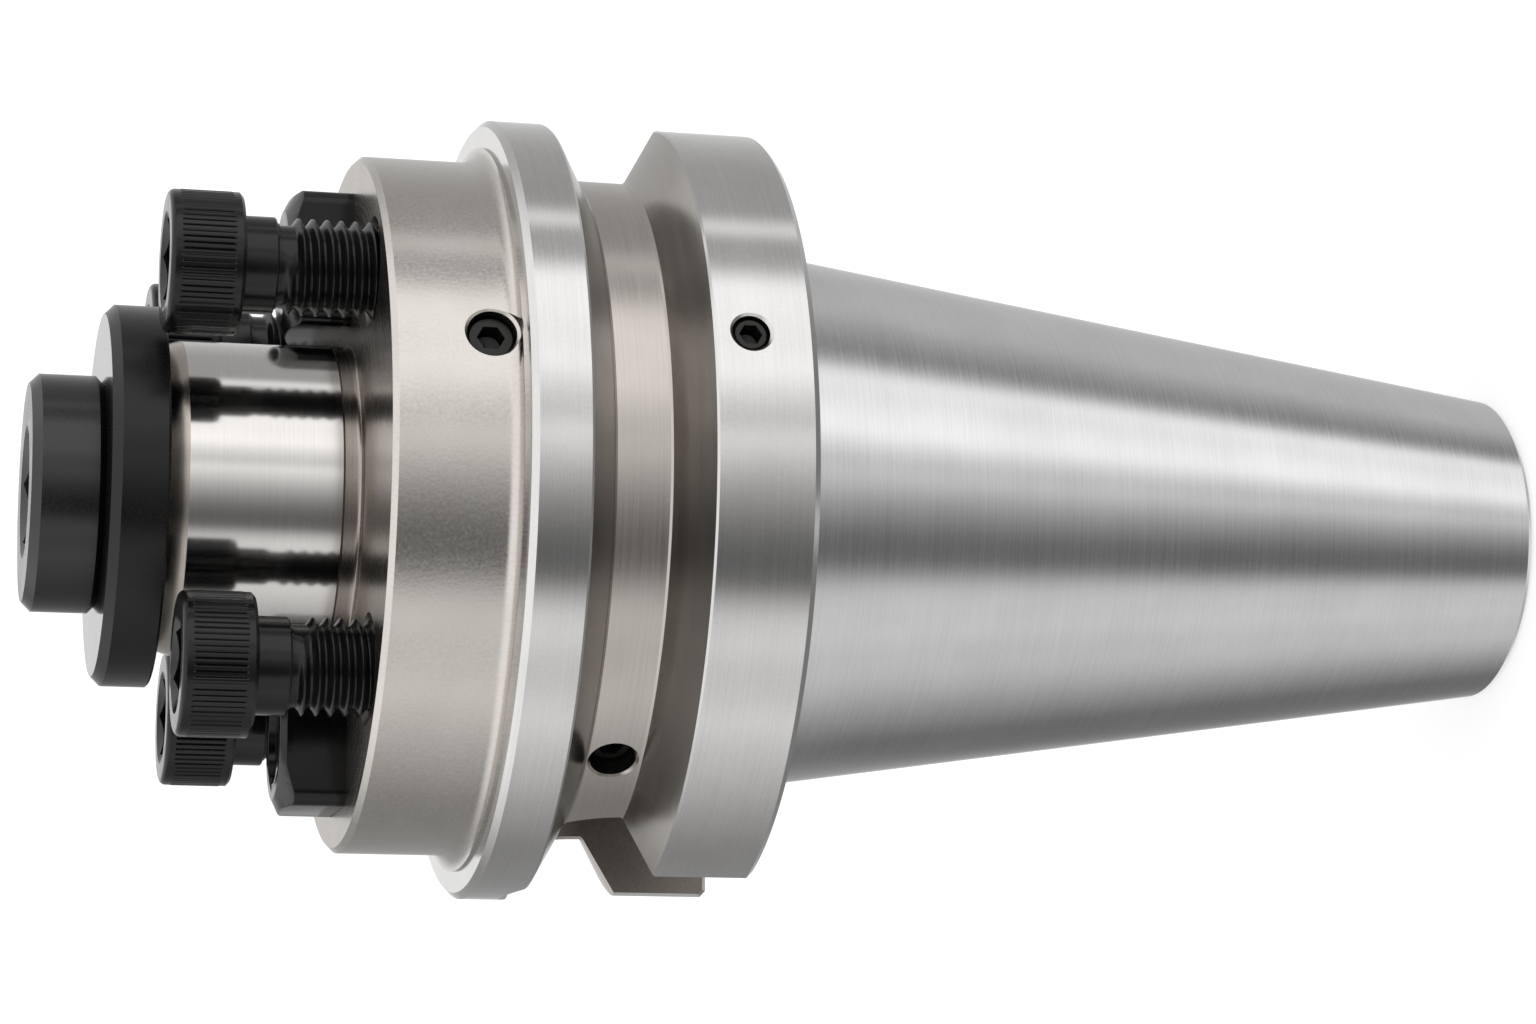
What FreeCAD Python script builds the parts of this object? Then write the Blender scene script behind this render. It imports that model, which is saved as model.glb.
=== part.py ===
"""Shell mill holder with a steep taper of size 50, a pilot, two drive keys and four clamp screws.

Millimetres. Z is the tool axis: +Z runs to the nose, and Z = 0 is the gauge plane of the taper.
The drive slots and drive keys lie along Y, and the clamp screws halfway between them.
"""
import FreeCAD, Part
import math
import os

Vector = FreeCAD.Vector
UP = Vector(0, 0, 1)

# Taper and its small end
gauge_dia = 69.85
taper_ratio = 7.0 / 24.0
taper_length = 101.8
tail_chamfer = 0.8
tail_bore_dia = 25.0
tail_bore_depth = 12.0
drawbar_tap_dia = 21.0
drawbar_tap_depth = 62.0
drill_point_angle = 118.0

# Neck between the taper and the flange
neck_dia = 69.2
neck_lead = 1.0
neck_step = 0.4

# Flange, its V-groove and its two drive slots
flange_dia = 100.0
flange_gap = 3.0
flange_width = 35.0
flange_chamfer = 0.8
groove_centre = 23.2
groove_mouth = 15.0
groove_depth = 7.0
groove_half_angle = 30.0
slot_width = 25.7
slot_floor = 35.4
slot_cutter_stop = 19.6
slot_deburr = 0.6

# Hub
hub_dia = 89.0
hub_face = 53.7
hub_chamfer = 0.7
hub_fillet = 2.0
shoulder_step = 0.35

# Pilot and the thread inside it
pilot_dia = 40.0
pilot_length = 24.0
pilot_lead_length = 2.7
pilot_lead_depth = 0.8
pilot_relief_width = 2.5
pilot_relief_depth = 0.3
retaining_thread_dia = 20.0
retaining_thread_depth = 50.0
retaining_mouth_chamfer = 1.0
thread_clearance = 0.05

# Retaining washer and retaining screw
washer_dia = 48.2
washer_thickness = 7.0
washer_chamfer = 1.2
washer_back_chamfer = 0.3
washer_hole_clearance = 0.5
retaining_head_dia = 30.0
retaining_head_height = 9.0
retaining_head_chamfer = 1.2
retaining_head_under_chamfer = 0.8
retaining_shank_length = 45.0
retaining_tip_chamfer = 1.5
retaining_hex = 14.0
retaining_hex_depth = 6.0

# Clamp screws: how far the underside of each head stands off the hub face
clamp_circle_dia = 70.0
clamp_thread_dia = 12.0
clamp_length = 40.0
clamp_head_dia = 17.6
clamp_head_height = 9.0
clamp_head_chamfer = 0.8
clamp_under_chamfer = 0.4
clamp_tip_chamfer = 1.2
clamp_hex = 10.0
clamp_hex_depth = 5.0
clamp_shoulder_length = 4.2
clamp_relief_length = 1.6
clamp_relief_depth = 0.7
clamp_hole_margin = 4.0
clamp_hole_chamfer = 0.8
clamp_standoffs = {45.0: 16.4, -45.0: 14.0, -135.0: 11.0, 135.0: 14.0}

# Drive keys and their screws
key_width = 16.0
key_inner = 22.0
key_outer = 39.5
key_rise = 8.2
key_seat_depth = 5.0
key_side_clearance = 0.02
key_edge_chamfer = 0.8
key_nose_chamfer = 0.7
key_nose_slope = 0.5
key_corner_radius = 2.0
key_screw_dia = 6.0
key_screw_head_dia = 10.0
key_screw_head_height = 6.0
key_screw_head_chamfer = 0.5
key_screw_tip_chamfer = 0.6
key_screw_hex = 5.0
key_screw_hex_depth = 3.0
key_screw_length = 16.0
key_screw_sink = 0.8
key_screw_clearance = 0.3
key_screw_hole_margin = 3.0
key_screw_hole_chamfer = 0.4

# Duct plugs: set screws with a hexagon socket, placed by height, bearing and depth below the surface
hub_plug_dia = 6.0
hub_plug_height = 41.6
hub_plug_bearing = 18.0
hub_plug_depth = 1.4
hub_plug_hex = 3.0
flange_plug_dia = 4.6
flange_plug_height = 11.1
flange_plug_bearing = 16.3
flange_plug_depth = 0.7
flange_plug_hex = 2.5
groove_plug_dia = 5.6
groove_plug_bearing = -55.0
groove_plug_depth = 2.6
groove_plug_hex = 3.0
plug_length = 6.0
plug_hole_margin = 1.0
plug_chamfer = 0.4
plug_hex_depth = 2.4

# Shaping: the cone at the floor of a socket as a share of its width, the run of a cutting tool past
# the surface it enters, and how closely an edge is matched to its place
socket_cone_share = 1.0 / 6.0
overrun = 1.0
match = 0.01

# Sizes that follow from the ones above
gauge_radius = gauge_dia / 2
tail_z = -taper_length
tail_radius = gauge_radius - taper_length * taper_ratio / 2
neck_radius = neck_dia / 2
flange_radius = flange_dia / 2
flange_front = flange_gap + flange_width
groove_floor_radius = flange_radius - groove_depth
groove_run = groove_depth * math.tan(math.radians(groove_half_angle))
groove_low = groove_centre - groove_mouth / 2
groove_high = groove_centre + groove_mouth / 2
hub_radius = hub_dia / 2
pilot_radius = pilot_dia / 2
pilot_end = hub_face + pilot_length
washer_front = pilot_end + washer_thickness
washer_hole_radius = retaining_thread_dia / 2 + washer_hole_clearance
retaining_face = washer_front + retaining_head_height
clamp_circle_radius = clamp_circle_dia / 2
clamp_hole_depth = clamp_length - min(clamp_standoffs.values()) + clamp_hole_margin
key_base = hub_face - key_seat_depth
key_top = hub_face + key_rise
key_centre = (key_inner + key_outer) / 2
key_length = key_outer - key_inner
key_screw_seat = key_top - key_screw_sink - key_screw_head_height
key_bearings = {"drive_key_upper": 90.0, "drive_key_lower": -90.0}


def polar(radius, bearing, z):
    """Point at a radius and bearing about the tool axis."""
    angle = math.radians(bearing)
    return Vector(radius * math.cos(angle), radius * math.sin(angle), z)


def turned(outline):
    """Solid turned about the tool axis from an outline of (radius, z) points."""
    points = [Vector(r, 0, z) for r, z in outline]
    points.append(points[0])
    return Part.Face(Part.makePolygon(points)).revolve(Vector(0, 0, 0), UP, 360)


def drill_point(radius):
    """Length of the cone that a drill leaves beyond the full width of its hole."""
    return radius / math.tan(math.radians(drill_point_angle / 2))


def drilled(radius, mouth_z, depth):
    """Tool for a blind hole down the tool axis from mouth_z, with its drill point."""
    floor = mouth_z - depth
    return turned([(0, mouth_z), (radius, mouth_z), (radius, floor), (0, floor - drill_point(radius))])


def countersink(radius, mouth_z, size):
    """Tool for a 45 degree chamfer at the mouth of a hole down the tool axis."""
    return turned([(0, mouth_z), (radius + size, mouth_z), (0, mouth_z - radius - size)])


def hex_socket(across_flats, top_z, depth):
    """Tool for a hexagon socket down the tool axis, with the cone that the drill left at its floor."""
    corner = across_flats / math.sqrt(3)
    points = [polar(corner, 60 * n, top_z) for n in range(7)]
    prism = Part.Face(Part.makePolygon(points)).extrude(Vector(0, 0, -depth))
    floor = Vector(0, 0, top_z - depth)
    cone = Part.makeCone(across_flats / 2, 0, across_flats * socket_cone_share, floor, Vector(0, 0, -1))
    return prism.fuse(cone)


def placed(shape, radius, bearing, z=0.0):
    """Copy of a shape on the tool axis, turned to a bearing and moved out to a radius."""
    copy = shape.copy()
    copy.rotate(Vector(0, 0, 0), UP, bearing)
    copy.translate(polar(radius, bearing, z))
    return copy


def radial(shape, radius, bearing, z):
    """Copy of a shape on the tool axis with its Z = 0 at a radius, its +Z outward along a bearing."""
    copy = shape.copy()
    copy.rotate(Vector(0, 0, 0), Vector(0, 1, 0), 90)
    copy.rotate(Vector(0, 0, 0), UP, bearing)
    copy.translate(polar(radius, bearing, z))
    return copy


def body_blank():
    """Taper, neck, flange with V-groove, hub and pilot, turned in one piece."""
    relief = pilot_radius - pilot_relief_depth
    fillet_top = hub_radius + hub_fillet
    shoulder = flange_front + shoulder_step
    lower = [
        (0, tail_z),
        (tail_radius - tail_chamfer, tail_z),
        (tail_radius + tail_chamfer * taper_ratio / 2, tail_z + tail_chamfer),
        (gauge_radius, 0),
        (gauge_radius + neck_lead * taper_ratio / 2, neck_lead),
        (neck_radius, neck_lead + neck_step),
        (neck_radius, flange_gap),
        (flange_radius - flange_chamfer, flange_gap),
        (flange_radius, flange_gap + flange_chamfer),
        (flange_radius, groove_low),
        (groove_floor_radius, groove_low + groove_run),
        (groove_floor_radius, groove_high - groove_run),
        (flange_radius, groove_high),
        (flange_radius, flange_front - flange_chamfer),
        (flange_radius - flange_chamfer, flange_front),
        (fillet_top, flange_front),
        (fillet_top, shoulder),
    ]
    upper = [
        (hub_radius, shoulder + hub_fillet),
        (hub_radius, hub_face - hub_chamfer),
        (hub_radius - hub_chamfer, hub_face),
        (relief, hub_face),
        (relief, hub_face + pilot_relief_width - pilot_relief_depth),
        (pilot_radius, hub_face + pilot_relief_width),
        (pilot_radius, pilot_end - pilot_lead_length),
        (pilot_radius - pilot_lead_depth, pilot_end),
        (0, pilot_end),
    ]
    start = Vector(fillet_top, 0, shoulder)
    end = Vector(hub_radius, 0, shoulder + hub_fillet)
    bend = hub_fillet * (1 - math.sqrt(0.5))
    middle = Vector(hub_radius + bend, 0, shoulder + bend)
    edges = Part.makePolygon([Vector(r, 0, z) for r, z in lower]).Edges
    edges.append(Part.Arc(start, middle, end).toShape())
    edges += Part.makePolygon([Vector(r, 0, z) for r, z in upper]).Edges
    edges.append(Part.makeLine(Vector(0, 0, pilot_end), Vector(0, 0, tail_z)))
    return Part.Face(Part.Wire(edges)).revolve(Vector(0, 0, 0), UP, 360)


def slot_cutter():
    """Path of the end mill that cuts one drive slot, standing along +Y and entering from the taper."""
    radius = slot_width / 2
    reach = flange_radius - slot_floor + overrun
    corner = Vector(-radius, slot_floor, -overrun)
    straight = Part.makeBox(slot_width, reach, slot_cutter_stop + overrun, corner)
    end = Part.makeCylinder(radius, reach, Vector(0, slot_floor, slot_cutter_stop), Vector(0, 1, 0))
    return straight.fuse(end)


def deburred(body):
    """Body with the edges of its drive slots broken where they cross the rear ring."""
    half = slot_width / 2
    edges = []
    for edge in body.Edges:
        box = edge.BoundBox
        at_wall = abs(abs(box.Center.x) - half) < match and box.XLength < match
        beyond_floor = max(abs(box.YMin), abs(box.YMax)) > slot_floor + match
        if at_wall and beyond_floor and box.ZMax < groove_low + match:
            edges.append(edge)
    return body.makeChamfer(slot_deburr, edges)


def thread_hole(nominal_dia, mouth_z, depth, chamfer):
    """Tool for a tapped hole, drawn at the outside of its thread."""
    radius = nominal_dia / 2 + thread_clearance
    return drilled(radius, mouth_z, depth).fuse(countersink(radius, mouth_z, chamfer))


def plug_hole(diameter, depth):
    """Tool for a tapped hole with its mouth at Z = 0, for a plug sunk to a depth."""
    radius = diameter / 2 + thread_clearance
    tool = drilled(radius, 0, depth + plug_length + plug_hole_margin)
    return tool.fuse(Part.makeCylinder(radius, overrun))


def holder_body():
    """The steel holder with every slot, pocket and hole cut in it."""
    body = body_blank()
    slots = [slot_cutter(), placed(slot_cutter(), 0, 180)]
    body = deburred(body.cut(slots))

    clamp_tool = thread_hole(clamp_thread_dia, hub_face, clamp_hole_depth, clamp_hole_chamfer)
    tools = [placed(clamp_tool, clamp_circle_radius, bearing) for bearing in clamp_standoffs]

    pocket = key_blank(key_seat_depth + overrun, 0.0)
    reach_below_key = key_screw_length - (key_screw_seat - key_base)
    key_screw_hole = thread_hole(
        key_screw_dia, key_base, reach_below_key + key_screw_hole_margin, key_screw_hole_chamfer
    )
    for bearing in key_bearings.values():
        tools.append(placed(pocket, key_centre, bearing, key_base))
        tools.append(placed(key_screw_hole, key_centre, bearing))

    tools.append(
        thread_hole(retaining_thread_dia, pilot_end, retaining_thread_depth, retaining_mouth_chamfer)
    )

    tail_bore = turned([
        (0, tail_z),
        (tail_bore_dia / 2 + tail_chamfer, tail_z),
        (tail_bore_dia / 2, tail_z + tail_chamfer),
        (tail_bore_dia / 2, tail_z + tail_bore_depth),
        (0, tail_z + tail_bore_depth),
    ])
    tap_radius = drawbar_tap_dia / 2
    tap_end = tail_z + drawbar_tap_depth
    drawbar = turned([
        (0, tail_z),
        (tap_radius, tail_z),
        (tap_radius, tap_end),
        (0, tap_end + drill_point(tap_radius)),
    ])
    tools += [tail_bore, drawbar]

    hub_hole = plug_hole(hub_plug_dia, hub_plug_depth)
    tools.append(radial(hub_hole, hub_radius, hub_plug_bearing, hub_plug_height))
    flange_hole = plug_hole(flange_plug_dia, flange_plug_depth)
    tools.append(radial(flange_hole, flange_radius, flange_plug_bearing, flange_plug_height))
    groove_hole = plug_hole(groove_plug_dia, groove_plug_depth)
    tools.append(radial(groove_hole, groove_floor_radius, groove_plug_bearing, groove_centre))
    return body.cut(tools)


def retaining_washer():
    """Disc on the end of the pilot, its rim chamfered on the nose side."""
    outer = washer_dia / 2
    return turned([
        (washer_hole_radius, pilot_end),
        (outer - washer_back_chamfer, pilot_end),
        (outer, pilot_end + washer_back_chamfer),
        (outer, washer_front - washer_chamfer),
        (outer - washer_chamfer, washer_front),
        (washer_hole_radius, washer_front),
    ])


def retaining_screw():
    """Low-headed socket screw through the washer into the pilot."""
    head = retaining_head_dia / 2
    shank = retaining_thread_dia / 2
    seat = head - retaining_head_under_chamfer
    tip = washer_front - retaining_shank_length
    screw = turned([
        (0, tip),
        (shank - retaining_tip_chamfer, tip),
        (shank, tip + retaining_tip_chamfer),
        (shank, washer_front),
        (seat, washer_front),
        (head, washer_front + retaining_head_under_chamfer),
        (head, retaining_face - retaining_head_chamfer),
        (head - retaining_head_chamfer, retaining_face),
        (0, retaining_face),
    ])
    return screw.cut(hex_socket(retaining_hex, retaining_face, retaining_hex_depth))


def clamp_screw():
    """Socket head cap screw on the tool axis, the underside of its head at Z = 0."""
    head = clamp_head_dia / 2
    shank = clamp_thread_dia / 2
    core = shank - clamp_relief_depth
    relief_top = -clamp_shoulder_length
    relief_base = relief_top - clamp_relief_length
    screw = turned([
        (0, -clamp_length),
        (shank - clamp_tip_chamfer, -clamp_length),
        (shank, -clamp_length + clamp_tip_chamfer),
        (shank, relief_base - clamp_relief_depth),
        (core, relief_base),
        (core, relief_top - clamp_relief_depth),
        (shank, relief_top),
        (shank, 0),
        (head - clamp_under_chamfer, 0),
        (head, clamp_under_chamfer),
        (head, clamp_head_height - clamp_head_chamfer),
        (head - clamp_head_chamfer, clamp_head_height),
        (0, clamp_head_height),
    ])
    return screw.cut(hex_socket(clamp_hex, clamp_head_height, clamp_hex_depth))


def clamp_screws():
    """The four clamp screws, each run in to its own depth."""
    screw = clamp_screw()
    return Part.makeCompound([
        placed(screw, clamp_circle_radius, bearing, hub_face + standoff)
        for bearing, standoff in clamp_standoffs.items()
    ])


def key_blank(height, clearance):
    """Block with rounded corners on the tool axis from Z = 0, its long side along X."""
    length = key_length - 2 * clearance
    width = key_width - 2 * clearance
    block = Part.makeBox(length, width, height, Vector(-length / 2, -width / 2, 0))
    corners = [e for e in block.Edges if abs(e.BoundBox.ZLength - height) < match]
    return block.makeFillet(key_corner_radius, corners)


def drive_key(bearing):
    """Key with a turned nose, broken top edges and a counterbore for its screw."""
    height = key_top - key_base
    key = key_blank(height, key_side_clearance)
    top = [e for e in key.Edges if e.BoundBox.ZMin > height - match]
    key = key.makeChamfer(key_edge_chamfer, top)

    nose_radius = key_width / 2 - key_nose_chamfer
    reach = math.hypot(key_length, key_width) / 2
    nose = turned([
        (0, -overrun),
        (reach, -overrun),
        (reach, height - (reach - nose_radius) * key_nose_slope),
        (nose_radius, height),
        (0, height),
    ])
    key = key.common(nose)

    seat = key_screw_seat - key_base
    bore = key_screw_head_dia / 2 + key_screw_clearance
    through = key_screw_dia / 2 + key_screw_clearance
    key = key.cut(Part.makeCylinder(bore, height, Vector(0, 0, seat)))
    key = key.cut(Part.makeCylinder(through, height, Vector(0, 0, -overrun)))
    return placed(key, key_centre, bearing, key_base)


def key_screw():
    """Socket head cap screw of a drive key on the tool axis, seated at its real height."""
    head = key_screw_head_dia / 2
    shank = key_screw_dia / 2
    tip = key_screw_seat - key_screw_length
    face = key_screw_seat + key_screw_head_height
    screw = turned([
        (0, tip),
        (shank - key_screw_tip_chamfer, tip),
        (shank, tip + key_screw_tip_chamfer),
        (shank, key_screw_seat),
        (head, key_screw_seat),
        (head, face - key_screw_head_chamfer),
        (head - key_screw_head_chamfer, face),
        (0, face),
    ])
    return screw.cut(hex_socket(key_screw_hex, face, key_screw_hex_depth))


def drive_key_screws():
    """The two screws that hold the keys."""
    screw = key_screw()
    return Part.makeCompound([placed(screw, key_centre, bearing) for bearing in key_bearings.values()])


def plug(diameter, across_flats):
    """Set screw with its socket end at Z = 0."""
    radius = diameter / 2
    body = turned([
        (0, -plug_length),
        (radius - plug_chamfer, -plug_length),
        (radius, -plug_length + plug_chamfer),
        (radius, -plug_chamfer),
        (radius - plug_chamfer, 0),
        (0, 0),
    ])
    return body.cut(hex_socket(across_flats, 0, plug_hex_depth))


def all_nodes():
    """Every node of the holder by name."""
    nodes = {
        "holder_body": holder_body(),
        "retaining_washer": retaining_washer(),
        "retaining_screw": retaining_screw(),
        "clamp_screws": clamp_screws(),
        "drive_key_screws": drive_key_screws(),
    }
    hub_plug = plug(hub_plug_dia, hub_plug_hex)
    hub_plug_radius = hub_radius - hub_plug_depth
    nodes["hub_duct_plug"] = radial(hub_plug, hub_plug_radius, hub_plug_bearing, hub_plug_height)
    flange_plug = plug(flange_plug_dia, flange_plug_hex)
    flange_plug_radius = flange_radius - flange_plug_depth
    nodes["flange_duct_plug"] = radial(
        flange_plug, flange_plug_radius, flange_plug_bearing, flange_plug_height
    )
    groove_plug = plug(groove_plug_dia, groove_plug_hex)
    groove_plug_radius = groove_floor_radius - groove_plug_depth
    nodes["groove_duct_plug"] = radial(groove_plug, groove_plug_radius, groove_plug_bearing, groove_centre)
    for name, bearing in key_bearings.items():
        nodes[name] = drive_key(bearing)
    return nodes


os.makedirs("parts", exist_ok=True)
for name, shape in all_nodes().items():
    shape.exportStep("parts/" + name + ".step")
    state = "valid" if shape.isValid() else "INVALID"
    print(name, len(shape.Solids), "solids", round(shape.Volume), "mm3", state)
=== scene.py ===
# Shell mill holder: the steel, the black screws and the studio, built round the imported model.
# Lengths in the dictionaries are millimetres from the gauge plane, and +Z runs to the nose.
import math
import bmesh
import bpy
from mathutils import Matrix, Vector


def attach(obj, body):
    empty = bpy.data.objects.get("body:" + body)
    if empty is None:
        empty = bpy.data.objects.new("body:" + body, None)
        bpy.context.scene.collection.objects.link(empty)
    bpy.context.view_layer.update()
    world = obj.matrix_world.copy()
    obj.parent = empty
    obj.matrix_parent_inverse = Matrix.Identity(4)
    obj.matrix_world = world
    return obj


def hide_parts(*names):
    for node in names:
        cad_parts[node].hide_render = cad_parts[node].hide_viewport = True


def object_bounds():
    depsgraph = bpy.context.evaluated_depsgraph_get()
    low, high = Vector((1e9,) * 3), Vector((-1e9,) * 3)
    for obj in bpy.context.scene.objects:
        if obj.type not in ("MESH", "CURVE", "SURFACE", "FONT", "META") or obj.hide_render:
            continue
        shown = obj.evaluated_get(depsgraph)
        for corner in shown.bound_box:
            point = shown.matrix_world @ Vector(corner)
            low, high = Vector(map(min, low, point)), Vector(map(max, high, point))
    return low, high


print("loading the packed model")
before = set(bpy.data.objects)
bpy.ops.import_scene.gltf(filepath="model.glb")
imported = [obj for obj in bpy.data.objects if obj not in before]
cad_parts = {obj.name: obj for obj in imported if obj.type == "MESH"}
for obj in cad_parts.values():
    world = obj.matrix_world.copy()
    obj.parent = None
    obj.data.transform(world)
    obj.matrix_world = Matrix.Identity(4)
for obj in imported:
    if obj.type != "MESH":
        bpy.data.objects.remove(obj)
cadBox = [list(corner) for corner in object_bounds()]
mm = 0.001


# small helpers that every piece uses
def meshPiece(name, points, faces, sharpAngle=12.0):
    mesh = bpy.data.meshes.new(name)
    mesh.from_pydata([(x * mm, y * mm, z * mm) for x, y, z in points], [], faces)
    piece = bpy.data.objects.new(name, mesh)
    bpy.context.scene.collection.objects.link(piece)
    tidyNormals(piece, sharpAngle)
    return piece


def tidyNormals(piece, sharpAngle=12.0):
    shape = bmesh.new()
    shape.from_mesh(piece.data)
    bmesh.ops.recalc_face_normals(shape, faces=shape.faces)
    shape.to_mesh(piece.data)
    shape.free()
    piece.data.shade_smooth()
    piece.data.set_sharp_from_angle(angle=math.radians(sharpAngle))


def skinned(rows, turns=None):
    # closed mesh from rows of (radius, z) round the Z axis; a row of one point lies on the axis,
    # and a row may have a whole number of times the points of its neighbour
    points, faces, rings = [], [], []
    for row in rows:
        count = len(row)
        start = len(points)
        for n, (radius, z) in enumerate(row):
            turn = turns[n] if turns and count == len(turns) else 2 * math.pi * n / count
            points.append((radius * math.cos(turn), radius * math.sin(turn), z))
        rings.append(list(range(start, start + count)))
    for low, high in zip(rings, rings[1:]):
        few, many = (low, high) if len(low) <= len(high) else (high, low)
        if len(few) == 1:
            faces += [[few[0], many[k], many[(k + 1) % len(many)]] for k in range(len(many))]
            continue
        step = len(many) // len(few)
        for n in range(len(few)):
            near = [many[(n * step + k) % len(many)] for k in range(step + 1)]
            faces.append([few[n], few[(n + 1) % len(few)]] + near[::-1])
    return points, faces


def spun(outline, segments):
    # closed mesh turned about Z from (radius, z) points; the first and last lie on the axis
    return skinned([[point] * segments if point[0] else [point] for point in outline])


def placedPoints(points, radius, bearing, z, spin=0.0):
    # points about Z, spun on their own axis, then moved out to a radius and bearing
    own = Matrix.Rotation(math.radians(spin), 3, "Z")
    turn = math.radians(bearing)
    shift = Vector((radius * math.cos(turn), radius * math.sin(turn), z))
    return [tuple(own @ Vector(p) + shift) for p in points]


def radialPoints(points, radius, bearing, z):
    # points about Z laid along a bearing, their +Z outward and their Z = 0 at the radius
    lay = Matrix.Rotation(math.radians(bearing), 3, "Z") @ Matrix.Rotation(math.radians(90), 3, "Y")
    turn = math.radians(bearing)
    shift = Vector((radius * math.cos(turn), radius * math.sin(turn), z))
    return [tuple(lay @ Vector(p) + shift) for p in points]


def joined(parts):
    points, faces = [], []
    for some, theirs in parts:
        start = len(points)
        points += some
        faces += [[start + n for n in face] for face in theirs]
    return points, faces


# materials: every steel is one recipe with its own settings
def nodeMaker(tree):
    def make(kind, inputs=None, **settings):
        node = tree.nodes.new(kind)
        for key, value in settings.items():
            setattr(node, key, value)
        for key, value in (inputs or {}).items():
            if isinstance(value, bpy.types.NodeSocket):
                tree.links.new(value, node.inputs[key])
            else:
                node.inputs[key].default_value = value
        return node

    return make


def freshMaterial(name):
    material = bpy.data.materials.new(name)
    material.use_nodes = True
    material.node_tree.nodes.clear()
    return material, nodeMaker(material.node_tree)


def worked(make, operation, *values):
    return make("ShaderNodeMath", dict(enumerate(values)), operation=operation).outputs[0]


def blended(make, share, first, second):
    ends = {"Factor": share, "A": first, "B": second}
    return make("ShaderNodeMix", ends, data_type="RGBA").outputs["Result"]


def turnedCoordinates(make):
    # a direction round the tool axis and a distance along the turned surface, so tool marks have no seam
    place = make("ShaderNodeTexCoord").outputs["Object"]
    split = make("ShaderNodeSeparateXYZ", {0: place})
    flat = make("ShaderNodeCombineXYZ", {0: split.outputs[0], 1: split.outputs[1]}).outputs[0]
    around = make("ShaderNodeVectorMath", {0: flat}, operation="NORMALIZE").outputs[0]
    radius = make("ShaderNodeVectorMath", {0: flat}, operation="LENGTH").outputs["Value"]
    lean = 0.731  # keeps rings of marks on flat faces as well as on round ones
    return place, around, worked(make, "MULTIPLY_ADD", radius, lean, split.outputs[2])


def noise(make, place, size, detail):
    scale = 1 / (size * mm)
    return make("ShaderNodeTexNoise", {"Vector": place, "Scale": scale, "Detail": detail}).outputs["Fac"]


def between(make, value, limits, easing="LINEAR"):
    # 0 up to the first limit and 1 from the second
    ends = {"Value": value, "From Min": limits[0], "From Max": limits[1]}
    return make("ShaderNodeMapRange", ends, interpolation_type=easing).outputs[0]


def spread(make, value, limits, look):
    # roughness either side of the look's own
    low, high = look["roughness"] - look["roughVary"], look["roughness"] + look["roughVary"]
    ends = {"Value": value, "From Min": limits[0], "From Max": limits[1], "To Min": low, "To Max": high}
    return make("ShaderNodeMapRange", ends).outputs[0]


def shaded(make, value, limits, look):
    # from the look's dark colour to its light one
    return blended(make, between(make, value, limits), (*look["dark"], 1), (*look["light"], 1))


def raised(make, height, look):
    depth = look["depth"] * mm
    return make("ShaderNodeBump", {"Height": height, "Strength": 1.0, "Distance": depth}).outputs[0]


# how much the patches count beside the specks, and between which noise values a look changes
steelMix = {"cloud": 0.5, "rough": (0.3, 0.7), "colour": (0.45, 1.05)}
blackMix = {"cloud": 0.6, "rough": (0.5, 1.1), "colour": (0.55, 1.1)}


def steel(name, look):
    material, make = freshMaterial(name)
    place, around, along = turnedCoordinates(make)
    wide = make("ShaderNodeVectorMath", {0: around, "Scale": look["markTurn"]}, operation="SCALE").outputs[0]
    step = worked(make, "MULTIPLY", along, 1 / (look["markPitch"] * mm))
    lines = {"Vector": wide, "W": step, "Scale": 1.0, "Detail": 4.0, "Roughness": 0.62}
    marks = make("ShaderNodeTexNoise", lines, noise_dimensions="4D").outputs["Fac"]
    cloud = noise(make, place, look["cloudSize"], 3.0)
    grain = noise(make, place, look["grainSize"], 4.0)
    mixed = worked(make, "MULTIPLY", marks, look["markShare"])
    mixed = worked(make, "MULTIPLY_ADD", grain, 1 - look["markShare"], mixed)
    rough = spread(make, mixed, steelMix["rough"], look)
    clouded = worked(make, "MULTIPLY_ADD", cloud, steelMix["cloud"], mixed)
    colour = shaded(make, clouded, steelMix["colour"], look)
    tangent = make("ShaderNodeTangent", direction_type="RADIAL", axis="Z").outputs[0]
    shader = make("ShaderNodeBsdfPrincipled", {
        "Base Color": colour, "Roughness": rough, "Metallic": 1.0, "Anisotropic": look["anisotropy"],
        "Anisotropic Rotation": look["grainTurn"], "Normal": raised(make, mixed, look), "Tangent": tangent,
    })
    make("ShaderNodeOutputMaterial", {"Surface": shader.outputs[0]})
    return material


def blackOxide(name, look):
    material, make = freshMaterial(name)
    place = make("ShaderNodeTexCoord").outputs["Object"]
    grain = noise(make, place, look["grainSize"], 5.0)
    cloud = noise(make, place, look["cloudSize"], 3.0)
    mixed = worked(make, "MULTIPLY_ADD", cloud, blackMix["cloud"], grain)
    colour = shaded(make, mixed, blackMix["colour"], look)
    rough = spread(make, mixed, blackMix["rough"], look)
    shader = make("ShaderNodeBsdfPrincipled", {
        "Base Color": colour, "Roughness": rough, "Normal": raised(make, grain, look), "IOR": look["ior"],
    })
    make("ShaderNodeOutputMaterial", {"Surface": shader.outputs[0]})
    return material


print("making the materials")
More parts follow.
